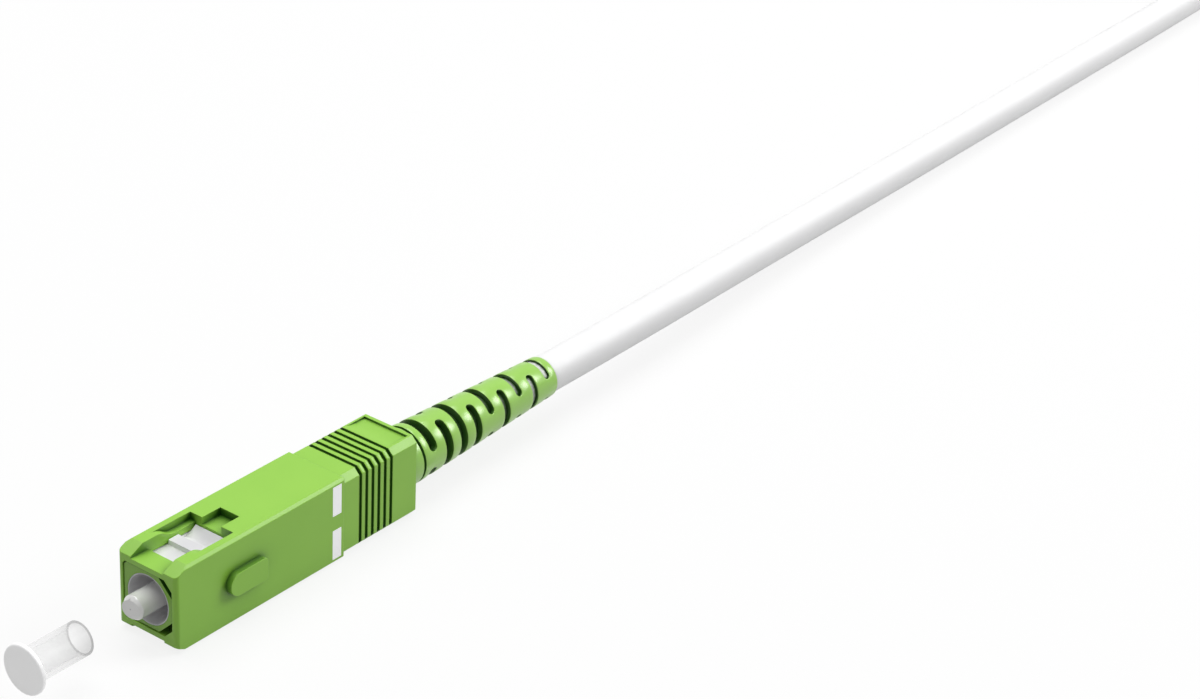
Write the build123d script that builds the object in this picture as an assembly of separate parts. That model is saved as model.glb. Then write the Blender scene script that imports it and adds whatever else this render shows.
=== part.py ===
"""Push-pull fibre connector of the SC pattern, angle polished, with its boot, cable and dust cap.

Frame: the origin is on the ferrule axis, in the plane of the outer housing's front face.
+X points out of the ferrule, +Z is the side with the upper latch window, +Y is the key side.
All sizes are in millimetres.
"""
from build123d import *
import math
import os

# Outer housing: overall section and lengths, measured back from the front face
housing_width = 7.4
housing_height = 9.0
front_length = 22.9
housing_length = 33.0
long_edge_bevel = 0.3
front_edge_radius = 0.45
lead_in_length = 1.6
lead_in_drop = 0.75
side_wall = 0.6
cavity_key_corner = 0.95
rear_wall_length = 12.8
shoulder_bevel = 0.42

# Grip at the rear of the housing
grip_width = 7.26
grip_height = 8.84
grip_corner = 0.65
groove_count = 6
groove_first = 24.7
groove_pitch = 0.88
groove_width = 0.39
groove_depth = 0.25
panel_front = 29.7
panel_ramp = 1.5
panel_rear_rim = 0.45
panel_side_rim = 0.2
panel_depth = 0.22

# Key on the side of the housing
key_front = 6.4
key_length = 4.95
key_width = 2.47
key_height = 0.7
key_rear_radius = 0.5

# Latch windows, one in the top and one in the bottom
bar_length = 2.25
bar_drop = 0.93
bar_thickness = 0.55
channel_width = 4.1
pocket_width = 5.44
pocket_rear = 8.4
ramp_front = 3.3
ramp_foot = 5.9
ramp_fall = 0.78
notch_width = 2.4
notch_length = 2.4
notch_depth = 0.8

# Plug frame and bezel
slide_clearance = 0.09
plug_key_corner = 1.65
plug_plain_corner = 0.3
nose_recess = 0.12
bezel_length = 2.16
nose_bore_share = 0.853
nose_tube_wall = 0.1
bezel_clearance = 0.01
nose_bore_depth = 5.1
frame_wall_length = 1.05
ferrule_hole_clearance = 0.3
chamber_step = 0.05
plug_end_gap = 0.8
latch_step = 4.75
latch_land_length = 1.3
latch_land_rise = 0.52
latch_pocket_length = 1.1
latch_pocket_depth = 0.2
latch_ramp_length = 1.15
latch_stop_gap = 0.05
latch_side_clearance = 0.1
snap_groove_offset = 2.8
snap_groove_width = 1.2
snap_groove_depth = 0.25

# Ferrule, its flange and the fibre
ferrule_diameter = 2.5
ferrule_stand_out = 2.15
ferrule_length = 10.5
ferrule_tip_bevel = 0.3
ferrule_tip_bevel_length = 0.45
polish_angle = 8.0
fibre_diameter = 0.125
fibre_hole_clearance = 0.002
flange_share = 0.88
flange_length = 2.0
flange_seat_gap = 0.05
flange_notch_width = 0.7
flange_notch_depth = 0.45
flange_tail_wall = 0.2
flange_tail_share = 0.44
buffer_diameter = 0.9
buffer_clearance = 0.05
guide_tube_diameter = 1.5
guide_tube_grip_share = 0.47
guide_tube_reach = 1.0

# Spring behind the flange
spring_wire_share = 0.5
spring_turns = 6.0
spring_end_gap = 0.02

# Stop ring with its crimp post
stop_insertion = 3.8
stop_fit_clearance = 0.02
stop_barb_rise = 0.2
stop_barb_gap = 0.1
stop_collar_diameter = 5.6
stop_collar_length = 1.6
stop_neck_diameter = 4.3
stop_neck_length = 1.9
post_diameter = 3.3
post_length = 6.0
post_groove_count = 5
post_groove_depth = 0.15
stop_bore = 1.9

# Crimp sleeve and the yarn under it
yarn_thickness = 0.3
sleeve_wall = 0.35
sleeve_grip_length = 2.4
sleeve_fit_clearance = 0.02
jacket_gap = 0.2

# Boot
boot_insertion = 9.4
boot_length = 33.0
boot_diameter = 6.15
boot_end_diameter = 4.44
boot_straight = 11.6
boot_sleeve_clearance = 0.1
boot_sleeve_depth = 10.6
boot_cable_clearance = 0.04
boot_ring_groove = 11.28
boot_ring_groove_width = 0.32
boot_ring_groove_depth = 0.3
slot_count = 9
slot_first = 13.02
slot_pitch = 2.33
slot_width_first = 1.12
slot_width_last = 0.8
slot_half_span_first = 61.0
slot_half_span_last = 51.0
open_slot = 2
housing_rear_clearance = 0.08

# Dust cap, standing off the ferrule
cap_gap = 6.2
cap_tube_diameter = 3.46
cap_length = 6.95
cap_flange_diameter = 5.0
cap_flange_thickness = 0.45
cap_end_wall = 0.6
cap_fit_clearance = 0.05
cap_mouth_diameter = 3.0
cap_mouth_depth = 1.5
cap_edge_bevel = 0.1

# Cable route, with the stored length in a hank of oblong turns
cable_diameter = 4.08
floor_z = -housing_height / 2
tie_thickness = 0.6
tie_width = 6.0
tie_clearance = 0.05
hank_fold_radius = 12.5
hank_run = 68.0
hank_front_fold = -215.0
hank_entry_y = -4.4
bend_share = 0.45
hank_columns = 1
hank_layers = 4
hank_corner = 1.2
tie_corner_radius = 1.6

# Half sizes and levels that several pieces share
half_width = housing_width / 2
half_height = housing_height / 2
bar_top = half_height - bar_drop
cavity_half_height = bar_top - bar_thickness
cavity_half_width = half_width - side_wall
plug_half_width = cavity_half_width - slide_clearance
plug_half_height = cavity_half_height - slide_clearance
cavity_length = housing_length - rear_wall_length
plug_length = cavity_length - plug_end_gap
plug_front = -(nose_recess + bezel_length)
nose_bore = nose_bore_share * 2 * min(plug_half_width, plug_half_height)
chamber_diameter = nose_bore - 2 * chamber_step
snap_groove_front = plug_length - snap_groove_offset
nose_tube_diameter = nose_bore + 2 * nose_tube_wall
rear_bore_radius = boot_diameter / 2 + housing_rear_clearance
ferrule_rear = ferrule_stand_out - ferrule_length
frame_wall_front = -(nose_recess + nose_bore_depth)
frame_wall_rear = frame_wall_front - frame_wall_length
flange_diameter = flange_share * chamber_diameter
flange_tail_diameter = ferrule_diameter + 2 * flange_tail_wall
flange_front = frame_wall_rear - flange_seat_gap
flange_rear = flange_front - flange_length
stop_front = plug_length - stop_insertion
flange_tail_length = flange_tail_share * (flange_rear + stop_front)
flange_tail_rear = flange_rear - flange_tail_length
guide_bore = buffer_diameter + 2 * buffer_clearance
spring_wire = spring_wire_share * (chamber_diameter - flange_tail_diameter) / 2
spring_mean_diameter = (chamber_diameter + flange_tail_diameter) / 2
stop_collar_front = -plug_length
stop_neck_front = stop_collar_front - stop_collar_length
guide_tube_front = flange_tail_rear + guide_tube_grip_share * flange_tail_length
guide_tube_rear = stop_neck_front - guide_tube_reach
post_front = stop_neck_front - stop_neck_length
post_rear = post_front - post_length
jacket_front = post_rear - jacket_gap
sleeve_rear = jacket_front - sleeve_grip_length
sleeve_inner = post_diameter + 2 * yarn_thickness
sleeve_outer = cable_diameter + 2 * sleeve_wall
cable_radius = cable_diameter / 2
boot_front = housing_length - boot_insertion
boot_rear = boot_front + boot_length
boot_taper_start = boot_front + boot_straight
cap_mouth = ferrule_stand_out + cap_gap
cap_front = cap_mouth + cap_length
hank_outer_fold = hank_fold_radius + (hank_columns - 1) * cable_diameter
hank_floor = floor_z + tie_thickness + tie_clearance

os.makedirs("parts", exist_ok=True)


def along_x(sketch, rear, front):
    """Solid with the sketch as its cross-section, from rear to front along X."""
    return extrude(Plane.YZ.offset(rear) * sketch, amount=front - rear)


def rod(diameter, rear, front):
    """Round bar on the ferrule axis."""
    return along_x(Circle(diameter / 2), rear, front)


def block(rear, front, width, low, high):
    """Rectangular block, centred on Y."""
    return Pos((rear + front) / 2, 0, (low + high) / 2) * Box(front - rear, width, high - low)


def side_prism(points, width):
    """Prism across Y from an outline in X and Z."""
    return extrude(Plane.XZ * make_face(Polyline(*points, close=True)), amount=width / 2, both=True)


def top_and_bottom(tool):
    """The tool and its mirror image below the axis."""
    return tool + mirror(tool, about=Plane.XY)


def turned(points):
    """Body of revolution about X, from an outline of X and radius."""
    outline = make_face(Polyline(*points, close=True))
    return revolve(Plane.XZ * outline, axis=Axis.X)


def keyed_section(half_y, half_z, key_corner, plain_corner):
    """Rectangle with bevelled corners, larger ones on the key side."""
    return make_face(
        Polyline(
            (half_y - key_corner, half_z),
            (half_y, half_z - key_corner),
            (half_y, -half_z + key_corner),
            (half_y - key_corner, -half_z),
            (-half_y + plain_corner, -half_z),
            (-half_y, -half_z + plain_corner),
            (-half_y, half_z - plain_corner),
            (-half_y + plain_corner, half_z),
            close=True,
        )
    )


def bevelled_rectangle(width, height, corner):
    """Rectangle with four equal bevelled corners."""
    return keyed_section(width / 2, height / 2, corner, corner)


# Outer housing
def housing_front():
    """Front section: its cross-section, trimmed by a plan outline and by a side outline."""
    section = bevelled_rectangle(housing_width, housing_height, long_edge_bevel)
    body = along_x(section, -front_length, 0)
    middle = -front_length / 2
    plan = Pos(middle, 0) * Rectangle(front_length, housing_width)
    plan = fillet(plan.vertices().group_by(Axis.X)[-1], front_edge_radius)
    plan = chamfer(plan.vertices().group_by(Axis.X)[0], shoulder_bevel)
    side = make_face(
        Polyline(
            (0, half_height - lead_in_drop),
            (-lead_in_length, half_height),
            (-front_length + shoulder_bevel, half_height),
            (-front_length, half_height - shoulder_bevel),
            (-front_length, -half_height + shoulder_bevel),
            (-front_length + shoulder_bevel, -half_height),
            (-lead_in_length, -half_height),
            (0, -half_height + lead_in_drop),
            close=True,
        )
    )
    body &= extrude(plan, amount=housing_height, both=True)
    return body & extrude(Plane.XZ * side, amount=housing_width, both=True)


def grip():
    """Rear section with bevelled corners, grooves all round and a sunken panel above and below."""
    section = bevelled_rectangle(grip_width, grip_height, grip_corner)
    body = along_x(section, -housing_length, -front_length + shoulder_bevel)
    inner = bevelled_rectangle(grip_width - 2 * groove_depth, grip_height - 2 * groove_depth, grip_corner)
    ring = Rectangle(housing_width * 2, housing_height * 2) - inner
    for number in range(groove_count):
        front = -(groove_first + number * groove_pitch)
        body -= along_x(ring, front - groove_width, front)
    top = grip_height / 2
    panel_rear = -housing_length + panel_rear_rim
    panel = [
        (-panel_front, top),
        (-panel_front - panel_ramp, top - panel_depth),
        (panel_rear, top - panel_depth),
        (panel_rear, top + panel_depth),
        (-panel_front, top + panel_depth),
    ]
    panel_width = grip_width - 2 * grip_corner - 2 * panel_side_rim
    return body - top_and_bottom(side_prism(panel, panel_width))


def key():
    """Raised key with a round front end."""
    radius = key_width / 2
    straight = key_length - radius
    outline = Pos(-key_front - radius - straight / 2, 0) * Rectangle(straight, key_width)
    outline = fillet(outline.vertices().group_by(Axis.X)[0], key_rear_radius)
    outline += Pos(-key_front - radius, 0) * Circle(radius)
    base = Plane.XZ.offset(-half_width + side_wall / 2)
    return extrude(base * outline, amount=-(key_height + side_wall / 2))


def latch_recess():
    """What is cut out of the top for the mating latch: channel, window, ramped pocket and notch."""
    above = half_height + lead_in_drop
    channel = block(-pocket_rear, lead_in_length, channel_width, bar_top, above)
    window = block(-pocket_rear, -bar_length, channel_width, 0, above)
    notch = block(-pocket_rear - notch_length, -pocket_rear, notch_width, half_height - notch_depth, above)
    top = (-ramp_front, half_height)
    foot = (-ramp_foot, half_height - ramp_fall)
    middle = ((top[0] + foot[0]) / 2, (top[1] + foot[1]) / 2)
    upper = TangentArc(top, middle, tangent=(-1, 0))
    lower = TangentArc(middle, foot, tangent=upper % 1)
    rest = Polyline(foot, (-pocket_rear, foot[1]), (-pocket_rear, above), (-ramp_front, above), top)
    outline = make_face(Curve() + [upper, lower, rest])
    pocket = extrude(Plane.XZ * outline, amount=pocket_width / 2, both=True)
    return channel + window + notch + pocket


def outer_housing():
    body = housing_front() + grip() + key()
    cavity = keyed_section(cavity_half_width, cavity_half_height, cavity_key_corner, plug_plain_corner)
    body -= along_x(cavity, -cavity_length, lead_in_length)
    body -= rod(rear_bore_radius * 2, -housing_length, -cavity_length)
    return body - top_and_bottom(latch_recess())


# Plug frame and bezel
def plug_section():
    return keyed_section(plug_half_width, plug_half_height, plug_key_corner, plug_plain_corner)


def latch_block():
    """Ridge that the mating latch hooks behind: step, land, pocket and rear ramp."""
    land = plug_half_height + latch_land_rise
    floor = plug_half_height - latch_pocket_depth
    width = channel_width - 2 * latch_side_clearance
    return block(-pocket_rear + latch_stop_gap, -latch_step, width, floor, land)


def latch_pocket():
    """Hook pocket cut behind the land, with a steep ramp up to the rear."""
    land = plug_half_height + latch_land_rise
    floor = plug_half_height - latch_pocket_depth
    land_rear = -latch_step - latch_land_length
    pocket_end = land_rear - latch_pocket_length
    above = half_height
    outline = [
        (land_rear, above),
        (land_rear, floor),
        (pocket_end, floor),
        (pocket_end - latch_ramp_length, land),
        (pocket_end - latch_ramp_length, above),
    ]
    return side_prism(outline, channel_width)


def plug_frame():
    body = along_x(plug_section(), -plug_length, plug_front)
    body += rod(nose_tube_diameter, plug_front, -nose_recess)
    body += top_and_bottom(latch_block())
    body -= top_and_bottom(latch_pocket())
    body -= rod(nose_bore, frame_wall_front, 0)
    body -= rod(ferrule_diameter + 2 * ferrule_hole_clearance, frame_wall_rear, 0)
    body -= rod(chamber_diameter, -plug_length, frame_wall_rear)
    groove = chamber_diameter + 2 * snap_groove_depth
    return body - rod(groove, -snap_groove_front - snap_groove_width, -snap_groove_front)


def nose_bezel():
    body = along_x(plug_section(), plug_front, -nose_recess)
    return body - rod(nose_tube_diameter + 2 * bezel_clearance, plug_front, 0)


# Ferrule, its flange, guide tube and fibre
def polish_cut():
    """Half space ahead of the angled end face, through the axis at the tip."""
    size = ferrule_length
    cutter = Pos(size / 2, 0, 0) * Box(size, size, size)
    return Pos(ferrule_stand_out, 0, 0) * Rot(0, 0, polish_angle) * cutter


def ferrule():
    radius = ferrule_diameter / 2
    longest = ferrule_stand_out + radius * math.tan(math.radians(polish_angle))
    body = turned(
        [
            (ferrule_rear, 0),
            (ferrule_rear, radius),
            (ferrule_stand_out - ferrule_tip_bevel_length, radius),
            (ferrule_stand_out, radius - ferrule_tip_bevel),
            (longest, radius - ferrule_tip_bevel),
            (longest, 0),
        ]
    )
    return body - rod(fibre_diameter + 2 * fibre_hole_clearance, ferrule_rear, longest) - polish_cut()


def bare_fibre():
    return rod(fibre_diameter, ferrule_rear, ferrule_stand_out * 2) - polish_cut()


def ferrule_flange():
    body = rod(flange_diameter, flange_rear, flange_front)
    body += rod(flange_tail_diameter, flange_tail_rear, flange_rear)
    reach = flange_diameter / 2
    notch = block(flange_rear, flange_front, flange_notch_width, reach - flange_notch_depth, reach * 2)
    for quarter in range(4):
        body -= Rot(quarter * 90, 0, 0) * notch
    body -= rod(ferrule_diameter, ferrule_rear, flange_front)
    body -= rod(guide_bore, flange_tail_rear, ferrule_rear)
    return body - rod(guide_tube_diameter, flange_tail_rear, guide_tube_front)


def guide_tube():
    tube = rod(guide_tube_diameter, guide_tube_rear, guide_tube_front)
    return tube - rod(guide_bore, guide_tube_rear, guide_tube_front)


def fibre_buffer():
    return rod(buffer_diameter, jacket_front, ferrule_rear - buffer_clearance)


# Spring between the flange and the stop ring
def spring():
    radius = spring_mean_diameter / 2
    front = flange_rear - spring_wire / 2 - spring_end_gap
    rear = -stop_front + spring_wire / 2 + spring_end_gap
    height = front - rear
    coil = Helix(height / spring_turns, height, radius, center=(rear, 0, 0), direction=(1, 0, 0))
    section = Plane(origin=coil @ 0, z_dir=coil % 0) * Circle(spring_wire / 2)
    return sweep(section, path=coil, is_frenet=True)


# Stop ring, yarn and crimp sleeve
def stop_ring():
    fit = chamber_diameter - 2 * stop_fit_clearance
    body = rod(fit, -plug_length, -stop_front)
    barb_front = -snap_groove_front - stop_barb_gap
    barb_rear = -snap_groove_front - snap_groove_width + stop_barb_gap
    body += turned(
        [
            (barb_rear, 0),
            (barb_rear, fit / 2 + stop_barb_rise),
            (barb_front, fit / 2),
            (barb_front, 0),
        ]
    )
    body += rod(stop_collar_diameter, stop_neck_front, stop_collar_front)
    body += rod(stop_neck_diameter, post_front, stop_neck_front)
    body += rod(post_diameter, post_rear, post_front)
    pitch = post_length / (post_groove_count + 1)
    ring = Circle(post_diameter) - Circle(post_diameter / 2 - post_groove_depth)
    for number in range(post_groove_count):
        middle = post_front - (number + 1) * pitch
        body -= along_x(ring, middle - pitch / 4, middle + pitch / 4)
    return body - rod(stop_bore, post_rear, -stop_front)


def strength_yarn():
    return rod(sleeve_inner, post_rear, post_front) - rod(post_diameter, post_rear, post_front)


def crimp_sleeve():
    body = rod(sleeve_inner + 2 * sleeve_wall, jacket_front, post_front)
    body += rod(sleeve_outer, sleeve_rear, jacket_front)
    body -= rod(sleeve_inner, jacket_front, post_front)
    return body - rod(cable_diameter + 2 * sleeve_fit_clearance, sleeve_rear, jacket_front)


# Boot
def boot_slot(x, width, middle, half_span):
    """Slot part of the way round the boot, with round ends; angles run from +Z towards +Y."""
    reach = boot_diameter
    steps = 4
    fan = [(0, 0)]
    for step in range(-steps, steps + 1):
        angle = math.radians(middle + half_span * step / steps)
        fan.append((reach * math.sin(angle), reach * math.cos(angle)))
    tool = along_x(make_face(Polyline(*fan, close=True)), x - width / 2, x + width / 2)
    drill = Pos(0, 0, reach / 2) * Cylinder(width / 2, reach)
    for end in (-1, 1):
        tool += Pos(x, 0, 0) * Rot(-(middle + end * half_span), 0, 0) * drill
    return tool


def boot():
    sleeve_hole = sleeve_outer / 2 + boot_sleeve_clearance
    cable_hole = cable_radius + boot_cable_clearance
    step = -boot_front - boot_sleeve_depth
    end = boot_end_diameter / 2
    body = turned(
        [
            (-boot_front, sleeve_hole),
            (-boot_front, boot_diameter / 2),
            (-boot_taper_start, boot_diameter / 2),
            (-boot_rear, end),
            (-boot_rear, cable_hole),
            (step, cable_hole),
            (step, sleeve_hole),
        ]
    )
    ring = Circle(boot_diameter) - Circle(boot_diameter / 2 - boot_ring_groove_depth)
    groove_front = -boot_front - boot_ring_groove
    body -= along_x(ring, groove_front - boot_ring_groove_width, groove_front)
    for number in range(slot_count):
        x = -(boot_front + slot_first + number * slot_pitch)
        share = number / (slot_count - 1)
        width = slot_width_first + (slot_width_last - slot_width_first) * share
        half_span = slot_half_span_first + (slot_half_span_last - slot_half_span_first) * share
        if number == open_slot:
            body -= boot_slot(x, width, 90, 90 + half_span)
            continue
        start = 0 if number % 2 == 0 else 90
        for middle in (start, start + 180):
            body -= boot_slot(x, width, middle, half_span)
    return body


# Dust cap
def dust_cap():
    bore = ferrule_diameter / 2 + cap_fit_clearance
    return turned(
        [
            (cap_mouth, cap_mouth_diameter / 2),
            (cap_mouth, cap_tube_diameter / 2),
            (cap_front - cap_flange_thickness, cap_tube_diameter / 2),
            (cap_front - cap_flange_thickness, cap_flange_diameter / 2),
            (cap_front - cap_edge_bevel, cap_flange_diameter / 2),
            (cap_front, cap_flange_diameter / 2 - cap_edge_bevel),
            (cap_front, 0),
            (cap_front - cap_end_wall, 0),
            (cap_front - cap_end_wall, bore),
            (cap_mouth + cap_mouth_depth, bore),
        ]
    )


# Cable, hank and ties
def cable_route():
    """Points that the cable follows from the crimp to the start of the hank."""
    on_floor = floor_z + cable_radius
    in_hank = hank_floor + cable_radius
    return [
        (jacket_front, 0, 0),
        (-72.0, 0, 0),
        (-99.5, -2.0, -1.45),
        (-131.0, -3.25, -2.35),
        (-162.0, -3.9, on_floor),
        (-193.0, -4.35, on_floor),
        (hank_front_fold, hank_entry_y, in_hank),
    ]


def cable_jacket():
    points = [Vector(*point) for point in cable_route()]
    radii = []
    for before, here, after in zip(points, points[1:], points[2:]):
        first = here - before
        second = after - here
        half_turn = math.radians(first.get_angle(second)) / 2
        radii.append(bend_share * min(first.length, second.length) / math.tan(half_turn))
    print("cable bend radii", [round(radius) for radius in radii])
    path = FilletPolyline(*points, radius=radii)
    section = Plane(origin=path @ 0, z_dir=path % 0) * Circle(cable_radius)
    tube = sweep(section, path=path)
    print("cable volume", round(tube.volume, 1), "section times length", round(path.length * section.area, 1))
    return tube


def hank_outline(radius):
    """Oblong loop of the hank at a fold radius."""
    middle = Pos(hank_front_fold - hank_run / 2, hank_entry_y - hank_outer_fold)
    return middle * SlotCenterToCenter(hank_run, radius * 2)


def cable_hank():
    inner = hank_fold_radius - cable_radius
    outer = hank_outer_fold + cable_radius
    ring = hank_outline(outer) - hank_outline(inner)
    body = extrude(Pos(0, 0, hank_floor) * ring, amount=hank_layers * cable_diameter)
    edges = body.faces().sort_by(Axis.Z)[0].edges() + body.faces().sort_by(Axis.Z)[-1].edges()
    return chamfer(edges, hank_corner)


def hank_tie(side):
    """Strap round one of the two straight bundles of the hank."""
    width = hank_columns * cable_diameter
    height = hank_layers * cable_diameter
    centre_x = hank_front_fold - hank_run / 2
    centre_y = hank_entry_y - hank_outer_fold
    offset = (hank_fold_radius + hank_outer_fold) / 2
    inner_radius = tie_corner_radius + tie_clearance
    hole = RectangleRounded(width + 2 * tie_clearance, height + 2 * tie_clearance, inner_radius)
    grow = 2 * (tie_clearance + tie_thickness)
    strap = RectangleRounded(width + grow, height + grow, inner_radius + tie_thickness) - hole
    band = along_x(strap, centre_x - tie_width / 2, centre_x + tie_width / 2)
    return Pos(0, centre_y + side * offset, hank_floor + height / 2) * band


export_step(outer_housing(), "parts/outer_housing.step")
export_step(plug_frame(), "parts/plug_frame.step")
export_step(nose_bezel(), "parts/nose_bezel.step")
export_step(ferrule(), "parts/ferrule.step")
export_step(bare_fibre(), "parts/bare_fibre.step")
export_step(ferrule_flange(), "parts/ferrule_flange.step")
export_step(guide_tube(), "parts/guide_tube.step")
export_step(fibre_buffer(), "parts/fibre_buffer.step")
export_step(spring(), "parts/spring.step")
export_step(stop_ring(), "parts/stop_ring.step")
export_step(strength_yarn(), "parts/strength_yarn.step")
export_step(crimp_sleeve(), "parts/crimp_sleeve.step")
export_step(boot(), "parts/boot.step")
export_step(dust_cap(), "parts/dust_cap.step")
export_step(cable_jacket(), "parts/cable_jacket.step")
export_step(cable_hank(), "parts/cable_hank.step")
export_step(hank_tie(1), "parts/hank_tie_near.step")
export_step(hank_tie(-1), "parts/hank_tie_far.step")
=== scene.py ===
"""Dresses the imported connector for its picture: camera, cable, materials, marks, floor and light."""

import math

import bmesh
import bpy
from mathutils import Matrix, Vector


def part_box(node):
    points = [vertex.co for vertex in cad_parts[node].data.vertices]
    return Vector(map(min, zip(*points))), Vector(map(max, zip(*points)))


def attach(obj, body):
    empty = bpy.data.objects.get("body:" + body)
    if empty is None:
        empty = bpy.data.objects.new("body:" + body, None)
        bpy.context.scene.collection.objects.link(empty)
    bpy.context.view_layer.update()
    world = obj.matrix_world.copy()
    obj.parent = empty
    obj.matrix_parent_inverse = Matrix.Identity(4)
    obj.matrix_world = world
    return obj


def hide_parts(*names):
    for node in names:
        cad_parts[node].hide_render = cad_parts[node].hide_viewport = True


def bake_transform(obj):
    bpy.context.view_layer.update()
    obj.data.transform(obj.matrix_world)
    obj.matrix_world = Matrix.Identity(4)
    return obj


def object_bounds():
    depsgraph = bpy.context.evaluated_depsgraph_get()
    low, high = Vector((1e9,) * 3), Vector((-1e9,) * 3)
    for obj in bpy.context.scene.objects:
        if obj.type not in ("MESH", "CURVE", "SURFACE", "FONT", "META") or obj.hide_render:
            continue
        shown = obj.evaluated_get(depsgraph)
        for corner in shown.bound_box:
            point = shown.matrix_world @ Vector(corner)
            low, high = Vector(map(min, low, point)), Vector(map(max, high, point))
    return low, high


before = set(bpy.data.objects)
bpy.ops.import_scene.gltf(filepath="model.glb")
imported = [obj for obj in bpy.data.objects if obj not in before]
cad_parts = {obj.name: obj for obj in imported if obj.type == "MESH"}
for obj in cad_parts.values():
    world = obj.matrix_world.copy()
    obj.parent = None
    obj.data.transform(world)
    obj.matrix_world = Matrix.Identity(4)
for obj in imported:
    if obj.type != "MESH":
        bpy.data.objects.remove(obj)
cad_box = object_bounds()

MM = 0.001

# Camera: place and aim in millimetres, roll in degrees, lens for the sensor's width, near limit in metres
CAMERA_PLACE = (180.43, 185.50, 167.81)
CAMERA_AIM = (-65.34, 0.85, 0.0)
CAMERA_ROLL = 2.882
CAMERA_SENSOR = 36.0
CAMERA_LENS = 100.69
CAMERA_NEAR = 0.01

# Cable: its diameter and the route's points in millimetres, the last one where the hank begins
CABLE_DIAMETER = 4.08
CABLE_ROUTE = [
    (-29.1, 0.0, 0.0),
    (-50.0, 0.0, 0.0),
    (-72.0, 0.0, 0.0),
    (-99.5, -2.0, -1.45),
    (-131.0, -3.25, -2.35),
    (-162.0, -3.9, -2.46),
    (-193.0, -4.35, -2.46),
    (-215.0, -4.4, -1.81),
]
CABLE_ORDER = 3
CABLE_STEPS = 10
CABLE_ROUNDNESS = 8

# Hank: oblong turns, one layer on another, in millimetres, and where its folds begin, in degrees
HANK_FOLD = 12.5
HANK_RUN = 68.0
HANK_LAYERS = 4
FOLD_POINTS = 6
HALF_TURN = 180
REAR_FOLD = 90
FRONT_FOLD = 270

# Printed marks on the two sides of the housing, in millimetres
MARK_FRONT = -20.9
MARK_REAR = -22.1
MARK_SPANS = ((0.85, 4.05), (-3.95, -0.75))
MARK_SIDE = 3.7
MARK_THICKNESS = 0.012

# Moulded edges: widths in millimetres, angles in degrees, weight of large faces in the shading
EDGE_ANGLE = 24.0
EDGE_STEPS = 2
EDGE_PROFILE = 0.5
FLAT_ANGLE = 0.2
SAME_POINT = 0.0001
SHADE_WEIGHT = 50
HOUSING_EDGE = 0.05
PLUG_EDGE = 0.03
BOOT_EDGE = 0.05
FERRULE_EDGE = 0.03
CAP_EDGE = 0.04

# Colours: a darker and a lighter shade of each material, the painted shade that the green's recesses and
# the jacket inside the boot turn to, and the painted bounce light that pales the white's bore
GREEN = ((0.308, 0.632, 0.070), (0.324, 0.652, 0.074))
GREEN_PAINTED_SHADE = (0.025, 0.105, 0.008)
BEZEL_SHARE = 0.85
WHITE = ((0.72, 0.71, 0.74), (0.77, 0.76, 0.79))
WHITE_PAINTED_BOUNCE_LIGHT = (0.95, 0.94, 0.96)
JACKET = ((0.94, 0.94, 0.945), (0.965, 0.965, 0.97))
JACKET_PAINTED_SHADE = (0.020, 0.075, 0.008)
CERAMIC = ((0.86, 0.86, 0.84), (0.91, 0.91, 0.89))
CAP_TUBE = ((0.66, 0.66, 0.66), (0.72, 0.72, 0.72))
CAP_MILK = ((0.95, 0.95, 0.95), (0.98, 0.98, 0.98))
# Painted shade: greys for the zone inside the cap's mouth and for its rim
CAP_MOUTH_PAINTED_SHADE = (0.42, 0.42, 0.42)
CAP_RIM_PAINTED_SHADE = (0.30, 0.30, 0.30)
FIBRE = (0.62, 0.62, 0.63, 1)
INK = ((0.84, 0.83, 0.87), (0.90, 0.89, 0.92))
NICKEL = ((0.55, 0.53, 0.50), (0.68, 0.66, 0.62))
ALUMINIUM = ((0.60, 0.60, 0.60), (0.75, 0.75, 0.75))
STEEL = ((0.40, 0.40, 0.41), (0.55, 0.55, 0.56))
GUIDE = ((0.62, 0.60, 0.55), (0.70, 0.68, 0.63))
BUFFER = ((0.70, 0.72, 0.74), (0.78, 0.80, 0.82))
YARN = ((0.55, 0.40, 0.08), (0.75, 0.60, 0.20))
STRAP = ((0.012, 0.012, 0.014), (0.05, 0.05, 0.055))
# Colour of the painted glow on the cap and on the print
GLOW = (1, 1, 1, 1)

# Roughness: from the glossiest spot of a material to the dullest
GREEN_ROUGH = (0.29, 0.33)
BOOT_ROUGH = (0.28, 0.31)
WHITE_ROUGH = (0.36, 0.46)
JACKET_ROUGH = (0.42, 0.55)
CERAMIC_ROUGH = (0.12, 0.20)
CAP_ROUGH = (0.30, 0.36)
FIBRE_ROUGH = (0.05, 0.12)
NICKEL_ROUGH = (0.30, 0.42)
ALUMINIUM_ROUGH = (0.32, 0.50)
STEEL_ROUGH = (0.30, 0.42)

# Strength of the green's reflections on the housing and on the boot
GREEN_SHINE = 0.35
BOOT_SHINE = 1.0

# Recesses, where painted shade and painted bounce light go: reach of their walls in millimetres, and the
# openness of a full recess and of open ground
GREEN_REACH = 2.2
WHITE_REACH = 1.6
JACKET_REACH = 1.6
PLASTIC_RECESS = (0.44, 0.98)
JACKET_SHADE = (0.65, 0.98)
JACKET_FADE = 1.0
OPENNESS_SAMPLES = 12

# Cap: lengths of its zones in millimetres, fades in zone lengths, and how much of the ground each hides
CAP_RIM = 0.06
CAP_MOUTH = 2.2
CAP_END = 0.6
CAP_RIM_FADE = 1.5
CAP_END_FADE = 1.1
CAP_VEIL = (0.15, 0.42)
CAP_RIM_VEIL = 0.5
CAP_MOUTH_VEIL = 0.12
CAP_END_VEIL = 0.75
CAP_OUTLINE = 0.3

# Noise: the middle range that its values keep to, and shares that go up or down
NOISE_RANGE = (0.3, 0.7)
RISING = (0.0, 1.0)
FALLING = (1.0, 0.0)

# Sockets of the colour mix node
MIX_FIRST = 6
MIX_SECOND = 7
MIX_RESULT = 2

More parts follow.
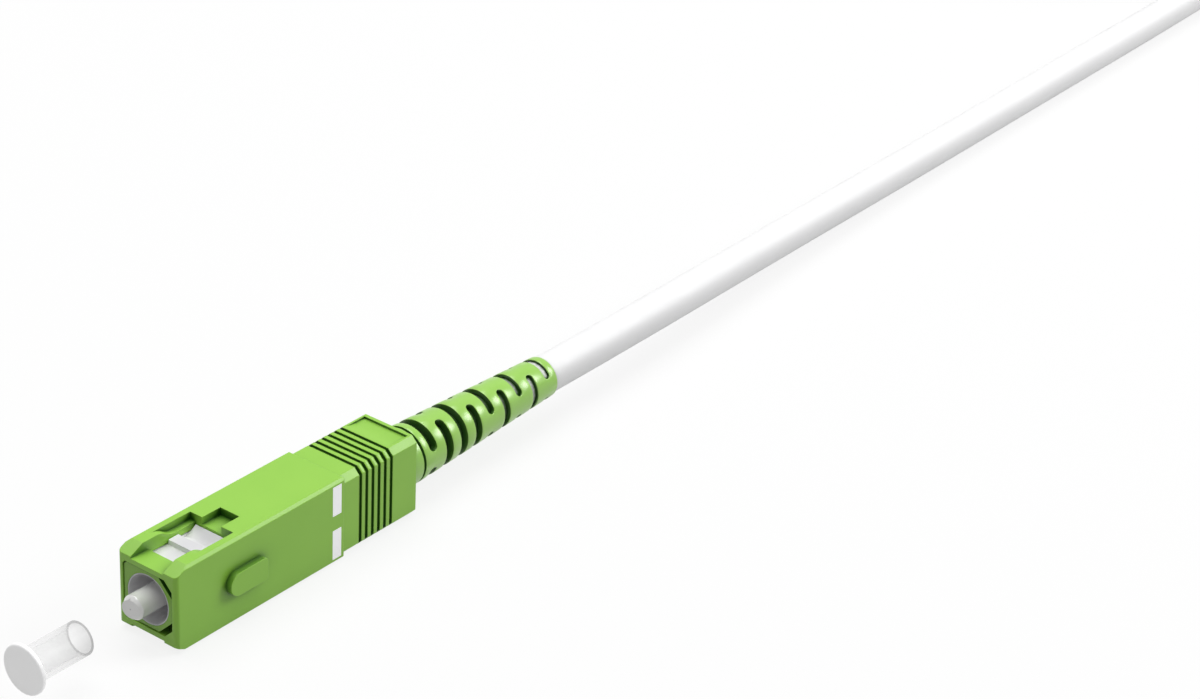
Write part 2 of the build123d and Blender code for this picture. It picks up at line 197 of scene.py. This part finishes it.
# Studio: metres, watts, grey levels and the share of plain white in the floor that is seen
FLOOR_HALF = 6.0
FLOOR_PAPER = (0.5, 0.5, 0.5, 1)
FLOOR_PALE = (0.9, 0.9, 0.9, 1)
FLOOR_WHITE = 0.85
WORLD_STRENGTH = 0.24
LIGHT_AIM = (-0.03, 0, 0)
TOP_PLACE = (-0.10, -0.15, 0.70)
TOP_SIZE = 0.60
TOP_POWER = 4.2
BACK_PLACE = (-0.66, 0.43, 0.48)
BACK_SIZE = 0.36
BACK_POWER = 3.4


def metres(point):
    """A point in millimetres as a vector in metres."""
    return Vector(point) * MM


def link(name, data):
    """A new object in the scene."""
    item = bpy.data.objects.new(name, data)
    bpy.context.scene.collection.objects.link(item)
    return item


def looking(place, aim):
    """Place and turn of a camera or lamp that looks at a point."""
    turn = (aim - place).to_track_quat("-Z", "Y").to_matrix().to_4x4()
    return Matrix.Translation(place) @ turn


# Camera
def make_camera():
    data = bpy.data.cameras.new("photo_camera")
    data.sensor_fit = "HORIZONTAL"
    data.sensor_width = CAMERA_SENSOR
    data.lens = CAMERA_LENS
    data.clip_start = CAMERA_NEAR
    camera = link("photo_camera", data)
    roll = Matrix.Rotation(math.radians(CAMERA_ROLL), 4, "Z")
    camera.matrix_world = looking(metres(CAMERA_PLACE), metres(CAMERA_AIM)) @ roll
    bpy.context.scene.camera = camera


# Cable and hank
def fold_points(centre, first_angle, level_start, level_end):
    """Control points round one half turn of the hank, a little outside the curve that they make."""
    points = []
    radius = HANK_FOLD / math.cos(math.pi / FOLD_POINTS / 2)
    for number in range(FOLD_POINTS):
        share = (number + 0.5) / FOLD_POINTS
        angle = math.radians(first_angle + HALF_TURN * share)
        level = level_start + (level_end - level_start) * share
        x = centre[0] + radius * math.cos(angle)
        y = centre[1] + radius * math.sin(angle)
        points.append((x, y, level))
    return points


def hank_points(entry):
    """Turns of the hank: out on the near side, round the back, home on the far side, up at the front."""
    front = entry[0]
    rear = front - HANK_RUN
    halfway = front - HANK_RUN / 2
    middle = entry[1] - HANK_FOLD
    near = middle + HANK_FOLD
    far = middle - HANK_FOLD
    points = []
    for layer in range(HANK_LAYERS):
        level = entry[2] + layer * CABLE_DIAMETER
        points += [(front, near, level), (halfway, near, level), (rear, near, level)]
        points += fold_points((rear, middle), REAR_FOLD, level, level)
        points += [(rear, far, level), (halfway, far, level), (front, far, level)]
        if layer < HANK_LAYERS - 1:
            points += fold_points((front, middle), FRONT_FOLD, level, level + CABLE_DIAMETER)
    return points


def make_cable():
    """The cable from the boot to its bare end in the hank, as one cord."""
    route = CABLE_ROUTE[:-1] + hank_points(CABLE_ROUTE[-1])
    curve = bpy.data.curves.new("cable", "CURVE")
    curve.dimensions = "3D"
    curve.bevel_depth = CABLE_DIAMETER / 2 * MM
    curve.bevel_resolution = CABLE_ROUNDNESS
    curve.resolution_u = CABLE_STEPS
    curve.use_fill_caps = True
    spline = curve.splines.new("NURBS")
    spline.points.add(len(route) - 1)
    for point, place in zip(spline.points, route):
        point.co = (*metres(place), 1.0)
    spline.order_u = CABLE_ORDER
    spline.use_endpoint_u = True
    cable = link("cable", curve)
    jacket = jacket_material()
    cable.data.materials.append(jacket)
    dress("cable_jacket", jacket)
    dress("cable_hank", jacket)
    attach(cable, "plug")
    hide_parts("cable_jacket", "cable_hank")


# Materials
class Nodes:
    """Short way to add nodes to a material and to join them."""

    def __init__(self, name):
        self.material = bpy.data.materials.new(name)
        self.material.use_nodes = True
        self.tree = self.material.node_tree
        self.shader = self.tree.nodes["Principled BSDF"]
        self.place = self.add("ShaderNodeTexCoord").outputs["Object"]

    def add(self, kind, **values):
        node = self.tree.nodes.new(kind)
        for key, value in values.items():
            setattr(node, key, value)
        return node

    def join(self, source, target):
        self.tree.links.new(source, target)

    def drive(self, **sources):
        """Joins other nodes to the shader's own sockets, spaces written as underscores."""
        for key, source in sources.items():
            self.join(source, self.shader.inputs[key.replace("_", " ")])

    def set(self, **values):
        """Plain values on the shader's own sockets, spaces written as underscores."""
        for key, value in values.items():
            self.shader.inputs[key.replace("_", " ")].default_value = value

    def noise(self, size_mm, detail=3.0, stretch=None):
        """Noise whose lumps are about that size."""
        node = self.add("ShaderNodeTexNoise")
        node.inputs["Scale"].default_value = 1 / (size_mm * MM)
        node.inputs["Detail"].default_value = detail
        source = self.place
        if stretch:
            mapping = self.add("ShaderNodeMapping")
            mapping.inputs["Scale"].default_value = stretch
            self.join(source, mapping.inputs["Vector"])
            source = mapping.outputs["Vector"]
        self.join(source, node.inputs["Vector"])
        return node.outputs["Fac"]

    def spread(self, source, span, values=RISING):
        """A span of the source's values turned into a span of other values."""
        node = self.add("ShaderNodeMapRange")
        node.inputs["From Min"].default_value = span[0]
        node.inputs["From Max"].default_value = span[1]
        node.inputs["To Min"].default_value = values[0]
        node.inputs["To Max"].default_value = values[1]
        self.join(source, node.inputs["Value"])
        return node.outputs["Result"]

    def patches(self, size_mm, values=RISING, stretch=None):
        """Soft patches of about that size, whose values keep to a span."""
        return self.spread(self.noise(size_mm, stretch=stretch), NOISE_RANGE, values)

    def along(self, start, end, values):
        """Values that change as X goes from start to end, in metres."""
        parts = self.add("ShaderNodeSeparateXYZ")
        self.join(self.place, parts.inputs["Vector"])
        return self.spread(parts.outputs["X"], (start, end), values)

    def openness(self, reach_mm, span, own_walls=False):
        """One on open ground, zero deep in a recess with walls within reach, the piece's own or any."""
        node = self.add("ShaderNodeAmbientOcclusion", samples=OPENNESS_SAMPLES, only_local=own_walls)
        node.inputs["Distance"].default_value = reach_mm * MM
        return self.spread(node.outputs["AO"], span)

    def outline(self, blend, values):
        """Values that change as a clear surface turns edge on, because it is denser there."""
        node = self.add("ShaderNodeLayerWeight")
        node.inputs["Blend"].default_value = blend
        return self.spread(node.outputs["Facing"], RISING, values)

    def mix(self, factor, first, second):
        """Colour between two colours by a factor, each of them a plain colour or another node's."""
        node = self.add("ShaderNodeMix", data_type="RGBA")
        self.join(factor, node.inputs["Factor"])
        for colour, socket in ((first, MIX_FIRST), (second, MIX_SECOND)):
            if isinstance(colour, tuple):
                node.inputs[socket].default_value = (*colour, 1)
            else:
                self.join(colour, node.inputs[socket])
        return node.outputs[MIX_RESULT]

    def combine(self, operation, first, second):
        """One value out of two."""
        node = self.add("ShaderNodeMath", operation=operation)
        self.join(first, node.inputs[0])
        self.join(second, node.inputs[1])
        return node.outputs[0]

    def bump(self, source, height_mm, strength):
        node = self.add("ShaderNodeBump")
        node.inputs["Strength"].default_value = strength
        node.inputs["Distance"].default_value = height_mm * MM
        self.join(source, node.inputs["Height"])
        self.drive(Normal=node.outputs["Normal"])


def moulded_plastic(name, shades, recess_painted_shading, rough, reach_mm, own_walls=False):
    """Moulded plastic: cloudy colour with painted shading in recesses (painted shade on the green, painted
    bounce light on the white), uneven gloss and a fine tool grain.
    """
    nodes = Nodes(name)
    open_colour = nodes.mix(nodes.patches(size_mm=5.0), *shades)
    open_share = nodes.openness(reach_mm, PLASTIC_RECESS, own_walls)
    gloss = nodes.patches(size_mm=2.0, values=rough)
    # Painted shading: the recess colour is mixed in where walls are within reach
    nodes.drive(Base_Color=nodes.mix(open_share, recess_painted_shading, open_colour), Roughness=gloss)
    nodes.bump(nodes.noise(size_mm=0.2, detail=2.0), height_mm=0.003, strength=0.03)
    return nodes


def green_material(name, share=1.0, shine=GREEN_SHINE, rough=GREEN_ROUGH, own_walls=False):
    """The connector's green, at a share of its brightness, with painted shade in its recesses."""
    shades = [tuple(value * share for value in shade) for shade in GREEN]
    nodes = moulded_plastic(name, shades, GREEN_PAINTED_SHADE, rough, GREEN_REACH, own_walls)
    nodes.set(IOR=1.5, Specular_IOR_Level=shine)
    return nodes.material


def white_material():
    """The plug's white, with painted bounce light that makes it paler in its bore, where light goes to and
    fro between the walls.
    """
    return moulded_plastic("plug_white", WHITE, WHITE_PAINTED_BOUNCE_LIGHT, WHITE_ROUGH, WHITE_REACH).material


def jacket_material():
    """Cable jacket: faint lines along it, a soft sheen, and a painted shade, tinted with the boot's green
    light, where it lies inside the boot.
    """
    nodes = Nodes("cable_white")
    open_colour = nodes.mix(nodes.patches(size_mm=6.0), *JACKET)
    boot_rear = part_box("boot")[0].x
    outside = nodes.along(boot_rear - JACKET_FADE * MM, boot_rear, FALLING)
    lit = nodes.combine("MAXIMUM", nodes.openness(JACKET_REACH, JACKET_SHADE), outside)
    gloss = nodes.patches(size_mm=1.5, values=JACKET_ROUGH)
    # Painted shade, tinted green as if by light off the boot's walls, where the jacket lies inside the
    # boot
    nodes.drive(Base_Color=nodes.mix(lit, JACKET_PAINTED_SHADE, open_colour), Roughness=gloss)
    lines = nodes.noise(size_mm=0.4, stretch=(0.05, 1, 1))
    nodes.bump(lines, height_mm=0.01, strength=0.25)
    return nodes.material


def ceramic_material():
    """Ground ceramic, faintly cloudy."""
    nodes = Nodes("zirconia")
    nodes.drive(
        Base_Color=nodes.mix(nodes.patches(size_mm=1.2), *CERAMIC),
        Roughness=nodes.patches(size_mm=0.3, values=CERAMIC_ROUGH),
    )
    nodes.set(IOR=2.1)
    return nodes.material


def plain_plastic(name, shades):
    """Plain extruded plastic."""
    nodes = Nodes(name)
    nodes.drive(Base_Color=nodes.mix(nodes.patches(size_mm=0.8, stretch=(0.2, 1, 1)), *shades))
    nodes.set(Roughness=0.4)
    return nodes.material


def clear_material():
    """Clear plastic: milky at the closed end, denser along its outline, with a painted shade on the rim
    and in a zone at the mouth, and a faint painted glow all over.
    """
    nodes = Nodes("cap_clear")
    low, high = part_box("dust_cap")
    end = CAP_END * MM
    edge = CAP_RIM * MM
    closed = nodes.along(high.x - end * CAP_END_FADE, high.x - end, RISING)
    rim = nodes.along(low.x + edge, low.x + edge * CAP_RIM_FADE, FALLING)
    mouth = nodes.along(low.x, low.x + CAP_MOUTH * MM, FALLING)
    cloud = nodes.patches(size_mm=1.5)
    # Painted shade greys the tube towards its mouth
    tube = nodes.mix(mouth, nodes.mix(cloud, *CAP_TUBE), CAP_MOUTH_PAINTED_SHADE)
    body = nodes.mix(closed, tube, nodes.mix(cloud, *CAP_MILK))
    veil = nodes.outline(CAP_OUTLINE, CAP_VEIL)
    for zone, density in ((closed, CAP_END_VEIL), (rim, CAP_RIM_VEIL), (mouth, CAP_MOUTH_VEIL)):
        veil = nodes.combine("ADD", veil, nodes.spread(zone, RISING, (0.0, density)))
    nodes.drive(
        # Painted shade greys the rim at the mouth
        Base_Color=nodes.mix(rim, body, CAP_RIM_PAINTED_SHADE),
        Roughness=nodes.patches(size_mm=0.8, values=CAP_ROUGH),
        Alpha=veil,
    )
    # A faint painted glow over the whole cap, standing for light scattered inside it
    nodes.set(IOR=1.4, Emission_Color=GLOW, Emission_Strength=0.2)
    return nodes.material


def glass_material():
    """The fibre's polished end."""
    nodes = Nodes("fibre_glass")
    nodes.drive(Roughness=nodes.patches(size_mm=0.05, values=FIBRE_ROUGH))
    nodes.set(Base_Color=FIBRE, IOR=1.46)
    return nodes.material


def metal_material(name, shades, rough, stretch):
    """Drawn or turned metal: tool lines in one direction."""
    nodes = Nodes(name)
    nodes.drive(
        Base_Color=nodes.mix(nodes.patches(size_mm=0.15, stretch=stretch), *shades),
        Roughness=nodes.patches(size_mm=0.2, values=rough, stretch=stretch),
    )
    nodes.set(Metallic=1.0)
    return nodes.material


def thread_material(name, shades, size_mm, stretch):
    """Yarn or woven strap: fine threads."""
    nodes = Nodes(name)
    threads = nodes.noise(size_mm, detail=4.0, stretch=stretch)
    nodes.drive(Base_Color=nodes.mix(nodes.spread(threads, NOISE_RANGE), *shades))
    nodes.set(Roughness=0.85)
    nodes.bump(threads, height_mm=size_mm / 3, strength=0.8)
    return nodes.material


def painted_glow_ink_material():
    """White print with a painted glow, which makes it a little brighter than the light on the housing's
    sides makes it.
    """
    nodes = Nodes("mark_ink_painted_glow")
    nodes.drive(Base_Color=nodes.mix(nodes.patches(size_mm=0.5), *INK))
    # Painted glow on the print
    nodes.set(Roughness=0.5, Emission_Color=GLOW, Emission_Strength=0.27)
    return nodes.material


# Pieces that stand for nodes of the model
def dress(node, material):
    """Puts a material on a node of the model."""
    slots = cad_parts[node].data.materials
    slots.clear()
    slots.append(material)


def copy_of(node, material):
    """A new piece with a node's own mesh and material, which stands for that node."""
    dress(node, material)
    piece = link(node + "_shape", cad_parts[node].data.copy())
    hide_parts(node)
    return piece


def bends(edge):
    """Whether the two faces at an edge meet at a clear angle."""
    return edge.calc_face_angle(0) > math.radians(EDGE_ANGLE)


def rounded(node, body, material, width_mm):
    """A copy of a node with its outer edges rounded a little and its inner corners left crisp."""
    piece = copy_of(node, material)
    shape = bmesh.new()
    shape.from_mesh(piece.data)
    bmesh.ops.remove_doubles(shape, verts=shape.verts, dist=SAME_POINT * MM)
    bmesh.ops.dissolve_limit(
        shape, angle_limit=math.radians(FLAT_ANGLE), verts=shape.verts, edges=shape.edges
    )
    bmesh.ops.bevel(
        shape,
        geom=[edge for edge in shape.edges if edge.is_convex and bends(edge)],
        offset=width_mm * MM,
        offset_type="OFFSET",
        segments=EDGE_STEPS,
        profile=EDGE_PROFILE,
        affect="EDGES",
    )
    for face in shape.faces:
        face.smooth = True
    for edge in shape.edges:
        edge.smooth = edge.is_convex or not bends(edge)
    shape.to_mesh(piece.data)
    shape.free()
    shade = piece.modifiers.new("shade", "WEIGHTED_NORMAL")
    shade.keep_sharp = True
    shade.weight = SHADE_WEIGHT
    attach(piece, body)


def stretched(node, material):
    """A copy of a node that the plug holds at its rear and the ferrule's flange pushes at its front."""
    piece = copy_of(node, material)
    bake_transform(piece)


def dress_model():
    """Materials for the nodes, and pieces for those with rounded edges and those that give way."""
    green = green_material("housing_green", own_walls=True)
    rounded("outer_housing", "housing", green, HOUSING_EDGE)
    bezel = green_material("bezel_green", share=BEZEL_SHARE)
    rounded("nose_bezel", "plug", bezel, PLUG_EDGE)
    boot = green_material("boot_green", shine=BOOT_SHINE, rough=BOOT_ROUGH)
    rounded("boot", "plug", boot, BOOT_EDGE)
    rounded("plug_frame", "plug", white_material(), PLUG_EDGE)
    rounded("ferrule", "ferrule_group", ceramic_material(), FERRULE_EDGE)
    rounded("dust_cap", "cap", clear_material(), CAP_EDGE)
    dress("bare_fibre", glass_material())
    nickel = metal_material("nickel", NICKEL, NICKEL_ROUGH, stretch=(0.1, 1, 1))
    dress("ferrule_flange", nickel)
    dress("stop_ring", nickel)
    aluminium = metal_material("crimped_aluminium", ALUMINIUM, ALUMINIUM_ROUGH, stretch=(0.2, 1, 1))
    dress("crimp_sleeve", aluminium)
    dress("guide_tube", plain_plastic("guide_plastic", GUIDE))
    dress("strength_yarn", thread_material("yarn", YARN, size_mm=0.1, stretch=(0.1, 1, 1)))
    strap = thread_material("strap", STRAP, size_mm=0.3, stretch=(1, 1, 0.4))
    dress("hank_tie_near", strap)
    dress("hank_tie_far", strap)
    steel = metal_material("spring_steel", STEEL, STEEL_ROUGH, stretch=(1, 0.2, 0.2))
    stretched("spring", steel)
    stretched("fibre_buffer", plain_plastic("buffer_plastic", BUFFER))


# Printed marks
def make_marks():
    """Two white bars on each side of the housing, as thin printed patches."""
    mesh = bpy.data.meshes.new("side_marks")
    build = bmesh.new()
    for side in (-1, 1):
        surface = side * MARK_SIDE
        outside = surface + side * MARK_THICKNESS
        for low, high in MARK_SPANS:
            ring = [(MARK_FRONT, low), (MARK_REAR, low), (MARK_REAR, high), (MARK_FRONT, high)]
            bottom = [build.verts.new(metres((x, surface, z))) for x, z in ring]
            top = [build.verts.new(metres((x, outside, z))) for x, z in ring]
            build.faces.new(top)
            build.faces.new(bottom[::-1])
            for number in range(len(ring)):
                after = (number + 1) % len(ring)
                build.faces.new((bottom[number], bottom[after], top[after], top[number]))
    bmesh.ops.recalc_face_normals(build, faces=build.faces)
    build.to_mesh(mesh)
    build.free()
    marks = link("side_marks", mesh)
    mesh.materials.append(painted_glow_ink_material())
    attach(marks, "housing")


# Floor and light
def seen_ray(tree):
    """One for rays that show the background: from the camera, mirrored, or through something clear."""
    path = tree.nodes.new("ShaderNodeLightPath")
    total = path.outputs["Is Camera Ray"]
    for name in ("Is Glossy Ray", "Is Transmission Ray"):
        larger = tree.nodes.new("ShaderNodeMath")
        larger.operation = "MAXIMUM"
        tree.links.new(total, larger.inputs[0])
        tree.links.new(path.outputs[name], larger.inputs[1])
        total = larger.outputs[0]
    return total


def mix_shaders(tree, first, second):
    """A node that goes from one shader to another."""
    node = tree.nodes.new("ShaderNodeMixShader")
    tree.links.new(first.outputs[0], node.inputs[1])
    tree.links.new(second.outputs[0], node.inputs[2])
    return node


def show(tree, output_kind, unseen, seen):
    """Gives a surface or the world one shader for rays that show it and another for the light it sends."""
    choose = mix_shaders(tree, unseen, seen)
    tree.links.new(seen_ray(tree), choose.inputs["Fac"])
    output = tree.nodes.new(output_kind)
    tree.links.new(choose.outputs[0], output.inputs["Surface"])


def make_floor(level):
    """White floor with a faint shadow, which lights the object as grey paper would."""
    mesh = bpy.data.meshes.new("floor")
    half = FLOOR_HALF
    corners = [(-half, -half, level), (half, -half, level), (half, half, level), (-half, half, level)]
    mesh.from_pydata(corners, [], [(0, 1, 2, 3)])
    floor = link("floor", mesh)
    material = bpy.data.materials.new("floor_white")
    material.use_nodes = True
    tree = material.node_tree
    tree.nodes.clear()
    paper = tree.nodes.new("ShaderNodeBsdfDiffuse")
    paper.inputs["Color"].default_value = FLOOR_PAPER
    pale = tree.nodes.new("ShaderNodeBsdfDiffuse")
    pale.inputs["Color"].default_value = FLOOR_PALE
    shown = mix_shaders(tree, pale, tree.nodes.new("ShaderNodeEmission"))
    shown.inputs["Fac"].default_value = FLOOR_WHITE
    show(tree, "ShaderNodeOutputMaterial", paper, shown)
    mesh.materials.append(material)


def make_world():
    """White ground in view, and a soft even light on the object."""
    world = bpy.data.worlds.new("studio")
    world.use_nodes = True
    tree = world.node_tree
    tree.nodes.clear()
    light = tree.nodes.new("ShaderNodeBackground")
    light.inputs["Strength"].default_value = WORLD_STRENGTH
    white = tree.nodes.new("ShaderNodeBackground")
    show(tree, "ShaderNodeOutputWorld", light, white)
    bpy.context.scene.world = world


def make_lamp(name, place, size, power):
    data = bpy.data.lights.new(name, "AREA")
    data.shape = "SQUARE"
    data.size = size
    data.energy = power
    lamp = link(name, data)
    lamp.matrix_world = looking(Vector(place), Vector(LIGHT_AIM))


# The scene
make_camera()
make_cable()
dress_model()
make_marks()
make_floor(cad_box[0].z)
make_world()
make_lamp("top_softbox", TOP_PLACE, TOP_SIZE, TOP_POWER)
make_lamp("back_softbox", BACK_PLACE, BACK_SIZE, BACK_POWER)
bpy.context.scene.view_settings.view_transform = "Standard"
